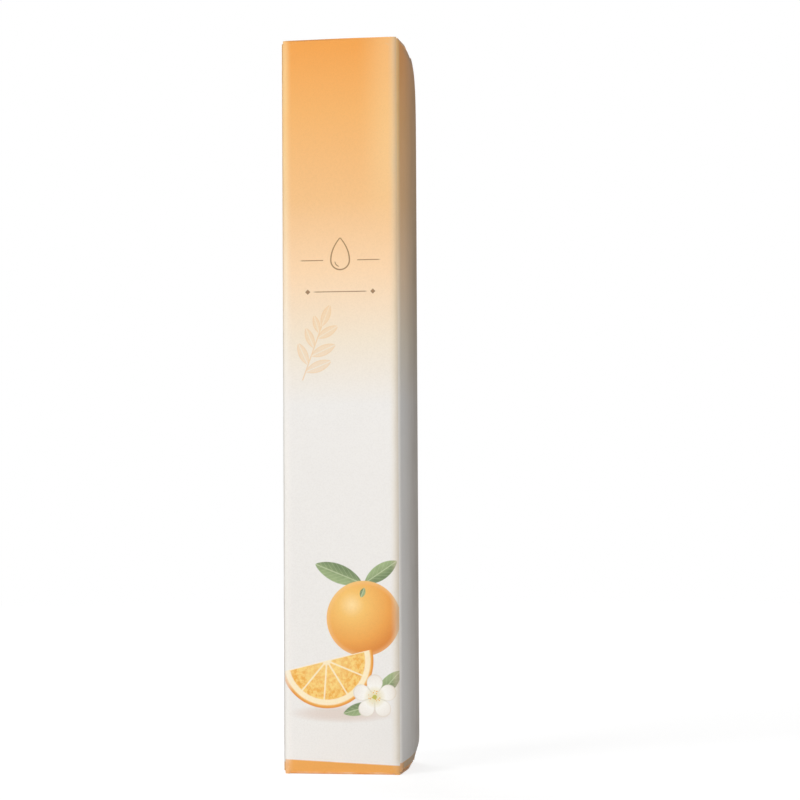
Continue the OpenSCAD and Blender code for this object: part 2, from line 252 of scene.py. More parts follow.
def leaf_edge(share, half_width):
    """Half of a pointed leaf's width, at a share of its length."""
    return (share * (1 - share) * 4) ** 0.8 * half_width


def leaf(art, x, z, root, degrees, length, width):
    """A pointed leaf with a midrib and side veins, from its root along a direction."""
    along, off = turned_to(x, z, *root, degrees)
    share = along / length
    edge = leaf_edge(share.most(0).least(1), width / 2)
    inside = (edge - abs(off)).fade(-0.05, 0.12) * share.fade(0, 0.02) * share.fade(1, 0.98)
    tone = (off / width + 0.5).fade(0.1, 0.9) * 0.6 + art.grain(0.9) * 0.5
    green = art.blend(tone, ink(98, 118, 84), ink(168, 186, 138))
    veins = abs((along - abs(off) * 1.4) % 1.1 - 0.55).fade(0.12, 0.0) * 0.35
    rib = abs(off).fade(0.16, 0.04) * 0.6
    green = art.blend(veins.most(rib), green, ink(206, 216, 178))
    art.lay(inside, green)


def whole_fruit(art, x, z, centre, radius):
    """A round fruit with pores, lit from the upper left."""
    reach = disc(x, z, *centre) / radius
    lit = disc(x, z, centre[0] - radius * 0.32, centre[1] + radius * 0.36) / radius
    skin = art.ramp(
        lit * 0.62, (0.0, 255, 222, 160), (0.22, 247, 196, 112), (0.62, 238, 166, 84), (0.95, 214, 124, 56)
    )
    pores = art.cells(2.6).fade(0.16, 0.05) * reach.fade(1.0, 0.6) * 0.3
    skin = art.blend(pores, skin, ink(222, 142, 70))
    rim = reach.fade(0.86, 1.0) * 0.35
    skin = art.blend(rim, skin, ink(250, 214, 160))
    art.lay(reach.fade(1.008, 0.992), skin)


def half_slice(art, x, z, centre, radius, degrees):
    """Half a citrus wheel with peel, pith and pulp segments, its cut edge along a direction."""
    along, off = turned_to(x, z, *centre, degrees)
    reach = (along**2 + off**2) ** 0.5
    inside = (reach / radius).fade(1.008, 0.992) * off.fade(0.04, -0.04)
    angle = off.math("ARCTAN2", along)
    step = pi / 5
    wall = abs((angle + pi) % step - step / 2)
    membrane = (step / 2 - wall) * reach
    core = reach.fade(radius * 0.07, radius * 0.12)
    pulp_edge = (radius * 0.84 - reach).least(membrane * 1.3)
    strands = art.grain(1.0, 4, (1.3, 1.3, 1.3), 0.7).fade(0.36, 0.62)
    pulp = art.blend(strands, ink(240, 170, 72), ink(250, 212, 128))
    pulp = art.blend((reach / radius).fade(0.9, 0.2) * 0.4, pulp, ink(252, 222, 150))
    pith = ink(253, 236, 200)
    face = art.blend(pulp_edge.fade(0.05, 0.32) * core, pith, pulp)
    peel = art.ramp(reach / radius, (0.925, 252, 226, 170), (0.955, 240, 172, 88), (1.0, 226, 146, 66))
    face = art.blend((reach / radius).fade(0.915, 0.94), face, peel)
    art.lay(inside, face)


def blossom(art, x, z, centre, radius, degrees):
    """A five-petalled white blossom with yellow stamens."""
    along, off = turned_to(x, z, *centre, degrees)
    reach = (along**2 + off**2) ** 0.5 / radius
    angle = off.math("ARCTAN2", along)
    swing = abs((angle * 2.5).math("COSINE"))
    edge = swing**0.55 * 0.55 + 0.45
    inside = (edge - reach).fade(-0.02, 0.03)
    petal = art.ramp(reach, (0.15, 236, 226, 190), (0.5, 250, 247, 240), (0.95, 240, 234, 226))
    crease = swing.fade(0.3, 0.0) * reach.fade(0.1, 0.3) * 0.5
    petal = art.blend(crease, petal, ink(206, 198, 176))
    outline = (edge - reach).fade(0.09, 0.0) * 0.35
    petal = art.blend(outline, petal, ink(198, 178, 150))
    dots = art.cells(2.2).fade(0.34, 0.2) * reach.fade(0.34, 0.24)
    petal = art.blend(dots, petal, ink(236, 180, 62))
    petal = art.blend(reach.fade(0.12, 0.08), petal, ink(196, 190, 92))
    art.lay(inside, petal)


def drop_ornament(art, x, z):
    """An oil drop in outline between thin rules, over a third rule with a lozenge at each end."""
    middle, radius, rise = 97.4, 1.8, 4.3
    tip = middle + rise
    share = ((z - middle) / rise).most(0).least(1)
    taper = abs(x) - (1 - share * share) * radius
    bowl = disc(x, z, 0, middle) - radius
    above = z.fade(middle - 0.05, middle + 0.05)
    outline = abs(taper * above + bowl * (1 - above)).fade(0.17, 0.08) * z.fade(tip + 0.05, tip - 0.1)
    glint = abs(disc(x, z, 0, middle - 0.2) - 1.0).fade(0.12, 0.05)
    glint = glint * x.fade(-0.1, -0.4) * z.fade(middle - 0.1, middle - 0.5)
    rules = abs(z - middle).fade(0.12, 0.05) * abs(x).fade(3.2, 3.4) * abs(x).fade(8.0, 7.2)
    below = abs(z - 91.4)
    lower = below.fade(0.12, 0.05) * abs(x).fade(5.4, 4.6)
    ends = (abs(abs(x) - 6.3) + below).fade(0.55, 0.45)
    mark = outline.most(glint).most(rules).most(lower).most(ends)
    art.lay(mark * 0.8, 128, 92, 56)


def pale_sprig(art, x, z, strength):
    """A faint sprig of leaves on a stem, a shade deeper than the ground."""
    foot, lean = (-7.4, 74.5), 70
    up, over = cos(radians(lean)), sin(radians(lean))
    along, off = turned_to(x, z, *foot, lean)
    shape = abs(off).fade(0.15, 0.06) * along.fade(0.0, 0.2) * along.fade(11.4, 11.0)
    leaves = (
        (1.8, -48, 5.4), (3.2, 44, 4.6), (5.0, -46, 5.2), (6.6, 42, 4.2),
        (8.6, -40, 4.6), (9.6, 36, 3.6), (11.0, -2, 4.4),
    )
    for rise, turn, length in leaves:
        root = (foot[0] + rise * up, foot[1] + rise * over)
        along, off = turned_to(x, z, *root, lean + turn)
        room = (along / length).most(0).least(1)
        edge = leaf_edge(room, length * 0.2)
        inside = (edge - abs(off)).fade(-0.03, 0.1) * room.fade(0, 0.02) * room.fade(1, 0.98)
        rim = (edge - abs(off)).fade(0.3, 0.1) * 0.4 + 0.6
        shape = shape.most(inside * rim * abs(off).fade(0.03, 0.14))
    art.lay(shape * strength, 238, 196, 140)


def ground(art, z, slant=0):
    """The carton's colours from foot to top: a thin band, bare white, then a rise to deep colour."""
    art.colour = art.ramp(
        z / tall, (0.0, 238, 235, 231), (0.50, 238, 235, 231), (0.59, 241, 227, 206), (0.68, 248, 214, 175),
        (0.78, 242, 193, 136), (0.90, 242, 180, 108), (0.99, 240, 164, 82),
    )
    art.lay((z + art.x * slant).fade(2.35, 2.1), 236, 169, 90)


def board_face(name, across, art_front=False):
    """Printed, lightly coated board. across is the axis along the panel's width."""
    art = Finish(name)
    x, z = (art.x if across == "x" else art.y), art.z
    ground(art, z, 0.045 if art_front else 0)
    if art_front:
        pale_sprig(art, x, z, 0.6)
        drop_ornament(art, x, z)
        shadow = ((x * x) / 90 + ((z - 11.4) ** 2) / 2.6).fade(1.4, 0.0) * 0.4
        art.lay(shadow, 206, 172, 148)
        leaf(art, x, z, (4.0, 36.0), 158, 9.8, 3.6)
        leaf(art, x, z, (4.4, 36.0), 34, 7.6, 3.0)
        whole_fruit(art, x, z, (4.2, 29.4), 7.1)
        leaf(art, x, z, (4.4, 35.2), 250, 2.0, 1.1)
        half_slice(art, x, z, (-2.9, 21.4), 9.0, 14)
        leaf(art, x, z, (6.6, 14.4), 48, 7.0, 2.8)
        leaf(art, x, z, (6.4, 13.2), 196, 6.4, 2.4)
        blossom(art, x, z, (6.3, 14.6), 4.3, 18)
        thinned = x.fade(3, 10) * z.fade(tall * 0.7, tall * 0.86) * 0.28
        art.lay(thinned, THIN_INK)
        # Painted shade: a dark line along the top edge of the front, deeper towards the left
        painted_top_edge_shade = z.fade(tall - 0.4, tall - 0.15) * x.fade(5, -7) * 0.55
        art.lay(painted_top_edge_shade, 150, 98, 56)
    # Ink is rubbed thin along the upright folds and at the corners. The pale fold strips are partly painted
    # light too: on the front the right-hand fold's strip is painted darker as shade, and on the other panels
    # the strips are laid stronger at the right-hand folds as a painted highlight.
    edge = abs(x) - flat
    patches = art.grain(0.35, 4, (1, 1, 0.35))
    rubbed = edge.fade(-0.9, 0.85) * (patches.fade(0.2, 0.75) * 0.25 + 0.35)
    rubbed = rubbed * (z.fade(1.5, 3.2) * 0.65 + 0.35)
    corner = edge.fade(-2.2, 0.7) * (z - 4).fade(0, -5).most((tall - 4 - z).fade(0, -5))
    chips = art.grain(1.6, 5).fade(0.58, 0.66) * corner
    pale = art.blend(z.fade(tall * 0.5, tall * 0.9), ink(247, 243, 236), THIN_INK)
    if art_front:
        # Painted shade: the strip's colour turns darker beige towards the right-hand fold
        pale = art.blend(x.fade(-4, 4), pale, ink(214, 198, 170))
    else:
        # Partly wear, partly painted highlight: the strips are laid stronger at the right-hand folds,
        # brightening them
        rubbed = rubbed * (art.x.fade(-2, 2) * 0.5 + 0.4)
        # A darker strip along the left wall's front fold, more so towards the foot
        left_fold_darkening = abs(edge - 0.35).fade(0.7, 0.4) * art.x.fade(2, -2) * art.y.fade(2, -2)
        left_fold_darkening = left_fold_darkening * (z.fade(80, 0) * 0.2 + 0.3) * (patches.fade(0.2, 0.6) * 0.6 + 0.4)
        art.lay(left_fold_darkening, 120, 104, 84)
    if across == "y":
        # The sides: a dulled foot band and top rim, and painted shade towards the rear, patchy and stronger on
        # the right
        dulled = z.fade(2.3, 2.0) * x.fade(-10.6, -8)
        art.lay(dulled * 0.85, 204, 178, 144)
        greyed = z.fade(side_high - 2.2, side_high - 0.5) * x.fade(-10, 2)
        art.lay(greyed * 0.55, 168, 150, 128)
        on_right = art.x.fade(-2, 2)
        # Painted shade: each wall darker towards its rear, patchy, stronger on the right wall
        painted_rear_shade = x.fade(-12, 11) * (patches.fade(0.2, 0.75) * 0.1 + 0.5) * (on_right * 0.7 + 0.3)
        art.lay(painted_rear_shade, 138, 122, 104)
        # Painted shade: deeper still towards the rear of the right wall, most around 95 mm up
        painted_shade_weight = abs(z - 95).fade(30, 0) * 0.2 + 0.16
        art.lay(x.fade(-4, 11) * on_right * z.fade(14, 40) * painted_shade_weight, 96, 80, 62)
    art.lay(rubbed.most(chips * 0.6), pale)
    speck = art.grain(3.5, 4)
    art.lay(speck.fade(0.35, 0.75) * 0.05, 120, 100, 80)
    fibres = art.grain(5.5, 4, (1, 1, 0.6))
    normal = art.bump(fibres, 0.006, art.bump(art.grain(0.09, 2), 0.25))
    return art.shade(fibres * 0.1 + patches * 0.12 + 0.48, normal, COATING)


def raw_face():
    """The grey-white back of the board, with loose fibres."""
    art = Finish("raw_board")
    fibres = art.grain(4.0, 5, (1, 1, 0.5), 0.65)
    clouds = art.grain(0.4, 3)
    art.colour = art.ramp(fibres, (0.3, 196, 189, 176), (0.7, 220, 214, 203))
    art.lay(clouds.fade(0.3, 0.8) * 0.25, 188, 180, 164)
    flecks = art.cells(1.1).fade(0.09, 0.05)
    art.lay(flecks * 0.5, 150, 136, 116)
    return art.shade(fibres * 0.15 + 0.78, art.bump(fibres, 0.02))


def cut_edge(name, ink_drawn, tint):
    """The cut edge of the board: pressed layers of pulp, with some ink drawn over them by the die."""
    art = Finish(name)
    layers = art.grain(9.0, 4)
    art.colour = art.ramp(layers, (0.3, 206, 196, 178), (0.7, 236, 230, 219))
    art.lay(layers.fade(0.7, 0.3) * 0.4 + ink_drawn, tint)
    return art.shade(0.9, art.bump(layers, 0.02))


def coated(art, fibres, rough):
    normal = art.bump(fibres, 0.006, art.bump(art.grain(0.12, 2), 0.2))
    return art.shade(fibres * 0.12 + rough, normal, COATING)


def closure_print():
    """Plain deep colour on the lids and tuck flaps, rubbed at the creases."""
    art = Finish("closure_print")
    fibres = art.grain(5.5, 4)
    patches = art.grain(0.35, 4)
    art.colour = art.blend(patches.fade(0.3, 0.8) * 0.2, ink(240, 165, 84), ink(244, 178, 104))
    rubbed = (abs(art.y).most(abs(art.x)) - (half - 1.1)).fade(0, 1.0)
    art.lay(rubbed * (patches.fade(0.3, 0.7) * 0.35), 246, 234, 212)
    return coated(art, fibres, 0.48)


def flap_print():
    """The coated outer face of the dust flaps: white, with the side's colour run over the crease."""
    art = Finish("flap_print")
    fibres = art.grain(5.5, 4)
    edge = art.grain(1.3, 3) * 0.35
    run = (abs(art.x) + edge).fade(half - 3.1, half - 2.8)
    scuffs = art.grain(1.2, 5, (1, 0.4, 1)).fade(0.6, 0.7) * 0.2
    art.colour = art.blend(scuffs, ink(236, 233, 228), ink(205, 196, 182))
    art.lay(run, 240, 166, 86)
    return coated(art, fibres, 0.5)


finishes = dict(
    front=board_face("front_print", "x", art_front=True),
    back=board_face("back_print", "x"),
    side=board_face("side_print", "y"),
    raw=raw_face(),
    edge=cut_edge("cut_edge", 0.0, ink(214, 200, 176)),
    inked_edge=cut_edge("inked_cut_edge", 0.4, ink(238, 168, 92)),
    closure=closure_print(),
    flap=flap_print(),
)


# Making of meshes


def ease(value):
    value = min(1.0, max(0.0, value))
    return value * value * (3 - 2 * value)


def settled(x, y, z):
    """Where a point of the crisp carton comes to lie in the worn one: the rear corners are squeezed in at
    both ends, the walls bow in a little, and the top edge sinks towards the left."""
    up = z / tall
    rear = ease((y + 3) / (half + 3))
    pinch = 1.15 * exp(-max(0.0, tall - z) / 3.4) + 1.1 * ease(1 - z / 5)
    bow = sin(pi * min(1.0, max(0.0, up)))
    new_x = x * (1 - rear * pinch / half) - 0.16 * (x / half) * (1 - (y / half) ** 2) * bow
    new_y = y - 0.2 * (y / half) * (1 - (x / half) ** 2) * bow
    arch = 0.12 * ease((1 - x / half) / 2 * 1.6 - 0.6) * ease((up - 0.9) / 0.1)
    return new_x, new_y, z - arch


def settle(bm):
    for v in bm.verts:
        v.co = settled(*v.co)


def cut(bm, point, normal, **clear):
    geom = bm.verts[:] + bm.edges[:] + bm.faces[:]
    ops.bisect_plane(bm, geom=geom, dist=1e-5, plane_co=point, plane_no=normal, **clear)


def rows(bm, axis, places):
    """Cuts the mesh across an axis at some places, so that it can bend there."""
    normal = [0, 0, 0]
    normal[axis] = 1
    for place in places:
        cut(bm, [place * n for n in normal], normal)


def spin(bm, geom, angle, steps, centre=(0, 0, 0), axis=(0, 0, 1), **others):
    """Sweeps some geometry about an axis, and gives its last place."""
    swept = ops.spin(bm, geom=geom, cent=centre, axis=axis, angle=angle, steps=steps, **others)
    return swept["geom_last"]


def round_off(bm, geom, radius, segments, affect="VERTICES"):
    ops.bevel(bm, geom=geom, offset=radius, segments=segments, profile=0.5, affect=affect, material=-1)


def about_z(angle):
    return Matrix.Rotation(angle, 3, "Z")


def moved_on(bm, extruded, by):
    """Moves what was extruded, and gives its points."""
    verts = [g for g in extruded["geom"] if isinstance(g, bmesh.types.BMVert)]
    ops.translate(bm, verts=verts, vec=by)
    return verts


def close_holes(bm):
    ops.holes_fill(bm, edges=[e for e in bm.edges if e.is_boundary], sides=0)


def stand(bm, low, high):
    """Raises a profile on the floor into a sheet between two heights."""
    ops.translate(bm, verts=bm.verts, vec=(0, 0, low))
    moved_on(bm, ops.extrude_edge_only(bm, edges=bm.edges), (0, 0, high - low))


def thicken(bm, outward):
    """Gives a sheet the board's thickness, inward from its outer face."""
    ops.recalc_face_normals(bm, faces=bm.faces)
    if max(bm.faces, key=lambda f: f.calc_area()).normal.dot(Vector(outward)) < 0:
        ops.reverse_faces(bm, faces=bm.faces)
    ops.solidify(bm, geom=bm.faces[:], thickness=board)


def piece(bm, name, materials, body=None, sharp=35, split=None):
    """Makes an object of a mesh in millimetres. split chooses each face's material.
    A piece with a node's name stands for that node, rides on its body, and is called by it and _fine."""
    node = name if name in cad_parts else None
    if node:
        name += "_fine"
    ops.recalc_face_normals(bm, faces=bm.faces)
    if split:
        for face in bm.faces:
            face.material_index = split(face)
    ops.scale(bm, vec=(MM, MM, MM), verts=bm.verts)
    mesh = bpy.data.meshes.new(name)
    bm.to_mesh(mesh)
    bm.free()
    mesh.shade_smooth()
    mesh.set_sharp_from_angle(angle=radians(sharp))
    for material in materials:
        mesh.materials.append(finishes[material])
    made = placed(name, mesh)
    if node:
        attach(made, body)
        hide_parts(node)
    return made


def by_side(outward):
    """0 for a face that looks outward, 1 for one that looks back in and 2 for a cut edge."""
    outward = Vector(outward)

    def choose(face):
        lean = face.normal.dot(outward)
        return 0 if lean > 0.5 else 1 if lean < -0.5 else 2

    return choose


# Where the walls are cut into rows, so that they can settle: closer together near both ends
END_ROWS = [0.3, 0.8, 1.4, 2.0, 2.7, 3.4, 4.2, 5.2, 6.6, 8.6, 12]
UP_ROWS = END_ROWS + [tall * i / 22 for i in range(3, 20)] + [tall - r for r in END_ROWS]
ACROSS = [flat * i / 5 for i in range(-4, 5)]
# A window reaches past the end of its wall by this
PAST = 0.5
EIGHTH = radians(45)


def inner_rows(low, high):
    return [r for r in UP_ROWS if low + 0.1 < r < high - 0.1]


def wall(name, quarter, print_name, low, high, left="fold", right="fold", windows=()):
    """A carton wall with half of each upright fold. It is drawn as the front, then turned by quarters.
    A side that isn't a fold ends at a place, or in the fold that the glue flap tucks behind.
    A window is cut out of its height where a crease takes over."""
    bm = bmesh.new()
    if left == "fold":
        reach = fold * cos(5 * EIGHTH)
        first = bm.verts.new((-flat + reach, -flat + fold * sin(5 * EIGHTH), 0))
        end = spin(bm, [first], EIGHTH, 8, (-flat, -flat, 0))[0]
    else:
        end = bm.verts.new((left, -half, 0))
    across = ops.extrude_vert_indiv(bm, verts=[end])["verts"][0]
    across.co.x = flat if right == "fold" else flat - board
    spin(bm, [across], EIGHTH, 8, (across.co.x, -flat, 0))
    stand(bm, low, high)
    rows(bm, 0, ACROSS)
    rows(bm, 2, inner_rows(low, high))
    for x0, x1, z0, z1 in windows:
        rows(bm, 0, (x0, x1))
        rows(bm, 2, (z0, z1))
        middles = [(f, f.calc_center_median()) for f in bm.faces]
        gone = [f for f, c in middles if x0 < c.x < x1 and z0 < c.z < z1]
        ops.delete(bm, geom=gone, context="FACES")
    thicken(bm, (0, -1, 0))
    turn = about_z(quarter * 2 * EIGHTH)
    ops.rotate(bm, verts=bm.verts, cent=(0, 0, 0), matrix=turn)
    settle(bm)
    split = by_side(turn @ Vector((0, -1, 0)))
    piece(bm, name, (print_name, "raw", "edge"), "carton", split=split)


low_bend, high_bend = side_low + bend, side_high - bend
wall("front_panel", 0, "front", 0, tall, windows=[(-flat, flat, -PAST, bend)])
wall(
    "right_panel", 1, "side", side_low, side_high,
    windows=[(dust_front, dust_rear, high_bend, tall), (-dust_rear, -dust_front, -PAST, low_bend)],
)
wall(
    "back_panel", 2, "back", 0, tall, right="tucked",
    windows=[(-flat + 0.04, flat - board, tall - bend, tall + PAST)],
)
wall(
    "left_panel", 3, "side", side_low, side_high, left=-node_box("left_panel")[1].y,
    windows=[(-dust_rear, -dust_front, high_bend, tall), (dust_front, dust_rear, -PAST, low_bend)],
)


def brought(bm, turned, mirrored, directions, points=()):
    """Moves what was drawn at the top right: mirrored to the left, turned to the foot and back to front."""
    if mirrored:
        ops.scale(bm, vec=(-1, 1, 1), verts=bm.verts)
        for v in (*directions, *points):
            v.x = -v.x
    if turned:
        about_x = Matrix.Rotation(pi, 3, "X")
        ops.rotate(bm, verts=bm.verts, cent=(0, 0, tall / 2), matrix=about_x)
        for v in directions:
            v.y, v.z = -v.y, -v.z
        for v in points:
            v.y, v.z = -v.y, tall - v.z


def flap(name, outline, outward, body, slot, print_name, turned, mirrored=False, corners=(), cuts=()):
    """A flat flap from its outline on the plane of its outer face. corners are (place, radius)."""
    bm = bmesh.new()
    bm.faces.new([bm.verts.new(p) for p in outline])
    for place, radius in corners:
        vert = min(bm.verts, key=lambda v: (v.co - Vector(place)).length)
        round_off(bm, [vert], radius, 8)
    for axis, places in cuts:
        rows(bm, axis, places)
    if bm.faces[:][0].normal.dot(Vector(outward)) < 0:
        ops.reverse_faces(bm, faces=bm.faces)
    ops.solidify(bm, geom=bm.faces[:], thickness=board)
    outward = Vector(outward)
    brought(bm, turned, mirrored, [outward])
    settle(bm)
    piece(bm, name, (print_name, "raw", "inked_edge"), body, split=by_side(outward))


def crease(name, centre, start_degrees, axis, reach, bodies, slot, print_name, turned, mirrored=False):
    """The quarter bend between two boards, as a bar along an axis."""
    low, high = reach
    x_way, y_way, up = (Vector(way) for way in ((1, 0, 0), (0, 1, 0), (0, 0, 1)))
    along, across, sense = (x_way, y_way, 1) if axis == "x" else (y_way, x_way, -1)
    start_angle = radians(start_degrees)
    first, last = (across * cos(a) + up * sin(a) for a in (start_angle, start_angle + radians(90)))
    bm = bmesh.new()
    base = Vector(centre) + along * low
    inner, outer = bm.verts.new(base + first * (bend - board)), bm.verts.new(base + first * bend)
    edge = bm.edges.new((inner, outer))
    spin(bm, [edge, inner, outer], radians(90), 8, base, along * sense)
    moved_on(bm, ops.extrude_face_region(bm, geom=bm.faces[:]), along * (high - low))
    rows(bm, 0 if axis == "x" else 1, [low + (high - low) * i / 10 for i in range(1, 10)])
    start = Vector(centre) + first * (bend - board)
    end = Vector(centre) + last * (bend - board)
    outward = (first + last).normalized()
    brought(bm, turned, mirrored, [outward], [start, end])
    made = piece(bm, name, (print_name, "raw", "inked_edge"), split=by_side(outward))
    start * MM
    end * MM
    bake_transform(made)
    for v in made.data.vertices:
        v.co = Vector(settled(*(v.co / MM))) * MM


def closure(end, lid, turned):
    """One end's lid with its tuck flap, and the two dust flaps under it."""
    tuck = end + "_tuck"
    orange, white = ("orange_board", "closure", turned), ("raw_board", "flap", turned)
    root = flat - 0.04
    rear = half - bend
    front = lid_front + bend
    step = half - (lid_half - root)
    flap(
        lid,
        [
            (-lid_half, front, tall), (lid_half, front, tall), (lid_half, step, tall),
            (root, rear, tall), (-root, rear, tall), (-lid_half, step, tall),
        ],
        (0, 0, 1), lid, *orange, cuts=[(0, ACROSS), (1, ACROSS)],
    )
    top_right, top_left = (tuck_half, lid_front, tall - bend), (-tuck_half, lid_front, tall - bend)
    low_right, low_left = (tuck_half, lid_front, tuck_low), (-tuck_half, lid_front, tuck_low)
    flap(
        tuck + "_flap", [top_left, top_right, low_right, low_left],
        (0, -1, 0), tuck, *orange, corners=[(low_right, 2.5), (low_left, 2.5)],
        cuts=[(0, ACROSS), (2, [tall - 1.2, tall - 2.2, tall - 3.4])],
    )
    free_rear = (dust_free, dust_rear - 6, side_high)
    free_front = (dust_free, dust_front, side_high)
    for side, mirrored in (("right", False), ("left", True)):
        name, body = f"{end}_dust_flap_{side}", f"{end}_dust_{side}"
        flap(
            name, [(rear, dust_front, side_high), (rear, dust_rear, side_high), free_rear, free_front],
            (0, 0, 1), body, *white, mirrored,
            corners=[(free_rear, 0.9), (free_front, 0.9)], cuts=[(0, [6, 7, 8, 9, 10]), (1, ACROSS)],
        )
        crease(
            name + "_crease", (rear, 0, side_high - bend), 0, "y", (dust_front, dust_rear),
            ("carton", body), *white, mirrored,
        )
    # The top lid's crease stops short of the back wall's tucked fold
    crease(
        lid + "_crease", (0, rear, tall - bend), 0, "x", (-root, flat - board if end == "top" else root),
        ("carton", lid), *orange,
    )
    crease(
        tuck + "_flap_crease", (0, front, tall - bend), 90, "x", (-tuck_half, tuck_half),
        (lid, tuck), *orange,
    )


closure("top", "top_lid", False)
closure("bottom", "bottom_closure", True)


def glue_flap():
    """The flap behind the left wall, with the rest of the back wall's fold. Only the fold is printed."""
    low, high, free, slope = glue_low.z, glue_high.z, glue_low.y, 1.5
    bm = bmesh.new()
    corner = Vector((board - flat, flat, 0))
    first = bm.verts.new(corner + Vector((-1, 1, 0)).normalized() * fold)
    end = spin(bm, [first], EIGHTH, 8, corner)[0]
    tip = ops.extrude_vert_indiv(bm, verts=[end])["verts"][0]
    tip.co.y = free
    stand(bm, low, high)
    for v in bm.verts:
        if v.co.y < free + 0.01:
            v.co.z += slope if v.co.z < tall / 2 else -slope
    rows(bm, 2, inner_rows(low, high))
    rows(bm, 1, [5, 7, 9])
    thicken(bm, (-1, 0, 0))
    settle(bm)

    def choose(face):
        on_fold = face.calc_center_median().y > flat - 0.05
        return 0 if on_fold and face.normal.dot(Vector((-1, 1, 0))) > 0.5 else 1

    piece(bm, "glue_flap", ("side", "raw"), "carton", split=choose)


glue_flap()


# Finishes of the pen


def plastic(name, colour, rough, mould=0.003, grime=0.1):
    """Moulded plastic: fine spark-eroded texture, faint flow clouds and a little grime."""
    art = Finish(name)
    texture = art.grain(9.0, 3)
    clouds = art.grain(0.25, 3)
    shade = [c * 0.86 for c in colour[:3]]
    art.colour = art.blend(clouds.fade(0.35, 0.75) * 0.2, colour, (shade[0], shade[1], shade[2] * 0.97, 1))
    scuffs = art.grain(2.4, 5, (1, 1, 0.6)).fade(0.6, 0.72)
    art.lay(scuffs * grime, 150, 140, 126)
    normal = art.bump(texture, mould, art.bump(clouds, 0.02))
    return art.shade(clouds * 0.12 + scuffs * 0.2 + rough, normal, {"IOR": 1.49})


def clear(name, colour, rough, ior, wave=0.004):
    """Clear plastic or oil, with faint ripples and handling haze."""
    art = Finish(name)
    ripples = art.grain(0.3, 2, (1, 1, 0.3))
    haze = art.grain(1.6, 5).fade(0.5, 0.85)
    art.colour = art.blend(ripples, colour, [c * 0.97 for c in colour[:3]] + [1])
    glass = {"Transmission Weight": 1.0, "IOR": ior}
    return art.shade(haze * 0.1 + rough, art.bump(ripples, wave), glass)


def rubber(name):
    art = Finish(name)
    bloom = art.grain(1.2, 5)
    skin = art.grain(7.0, 3)
    art.colour = art.ramp(bloom, (0.35, 52, 55, 60), (0.75, 88, 92, 98))
    return art.shade(bloom * 0.25 + 0.5, art.bump(skin, 0.006))


def steel(name):
    """Drawn tube: fine lines along it, and a few brighter rubs."""
    art = Finish(name)
    drawn = art.grain(14.0, 3, (1, 1, 0.04))
    rubs = art.grain(1.1, 4).fade(0.45, 0.7)
    art.colour = art.ramp(drawn, (0.3, 168, 172, 177), (0.7, 206, 209, 213))
    rough = rubs * -0.08 + drawn * 0.15 + 0.24
    return art.shade(rough, art.bump(drawn, 0.003), {"Metallic": 1.0})


def nylon(name):
    """Bristle fibre: darker at the root, and no two strands quite alike."""
    art = Finish(name)
    strands = art.grain(3.2, 2, (1, 1, 0.02))
    art.colour = art.ramp(strands, (0.3, 66, 42, 26), (0.52, 98, 64, 40), (0.75, 142, 100, 66))
    art.lay(art.z.fade(110, 119) * 0.25, 176, 132, 88)
    return art.shade(strands * 0.2 + 0.3, art.bump(art.grain(9, 2), 0.004))


def label_print(name):
    """Glossy film round the barrel: the carton's colours, with a wreath of its own and no words."""
    art = Finish(name)
    u, z = art.x.math("ARCTAN2", art.y * -1) * LABEL_RADIUS, art.z
    art.colour = art.ramp((z - 16) / 40, (0.1, 240, 237, 232), (0.45, 246, 222, 188), (0.95, 240, 160, 80))
    wreath = ((-0.4, 33.0, 150, 5.2), (0.4, 33.0, 28, 5.2), (-0.6, 31.6, 208, 4.2), (0.6, 31.6, -26, 4.2))
    for side, rise, degrees, length in wreath:
        leaf(art, u, z, (side, rise), degrees, length, 2.0)
    blossom(art, u, z, (0, 32.4), 2.8, 90)
    whole_fruit(art, u, z, (0.2, 26.4), 2.3)
    hoops = abs(z - 53.2).fade(0.14, 0.08).most(abs(z - 19.0).fade(0.14, 0.08))
    art.lay(hoops * 0.7, 150, 108, 66)
    wrinkle = art.grain(0.22, 3, (1, 1, 0.4))
    peel = art.grain(2.5, 4)
    normal = art.bump(peel, 0.004, art.bump(wrinkle, 0.03))
    return art.shade(peel * 0.12 + 0.22, normal, {"Coat Weight": 0.3})


# Finishes that have the name of their slot in the record, but for the frosted one
for name, make, *numbers in (
    ("white_plastic", plastic, ink(240, 238, 233), 0.3),
    ("drive_plastic", plastic, ink(206, 208, 210), 0.4, 0.005),
    ("clear_plastic", clear, (0.96, 0.98, 0.985, 1), 0.03, 1.52),
    ("frosted_plastic", clear, (0.93, 0.95, 0.95, 1), 0.16, 1.49, 0.01),
    ("amber_oil", clear, ink(250, 190, 92), 0.0, 1.47, 0.001),
    ("seal_rubber", rubber),
    ("feed_steel", steel),
    ("brush_nylon", nylon),
    ("label_film", label_print),
):
    finishes[name] = make(name, *numbers)


# The pen's pieces are turned about its axis, each from its own half section. Each function that draws one has
# the name of its node.


def section_of(bm, section):
    """Draws a half section, (radius, height, corner radius) in order, and rounds its corners."""
    verts = [bm.verts.new((r, 0, z)) for r, z, _ in section]
    bm.faces.new(verts)
    for vert, (_, _, corner) in zip(verts, section):
        if corner:
            round_off(bm, [vert], corner, 4)
    ops.delete(bm, geom=bm.faces[:], context="FACES_ONLY")
    return [e for e in bm.edges if any(v.co.x > 1e-6 for v in e.verts)]


def full_spin(bm, edges, steps):
    spin(bm, edges, 2 * pi, steps, use_merge=True)
    ops.delete(bm, geom=[e for e in bm.edges if not e.link_faces], context="EDGES")


def turned_body(*section, steps=96):
    bm = bmesh.new()
    full_spin(bm, section_of(bm, section), steps)
    ops.remove_doubles(bm, verts=bm.verts, dist=1e-4)
    return bm


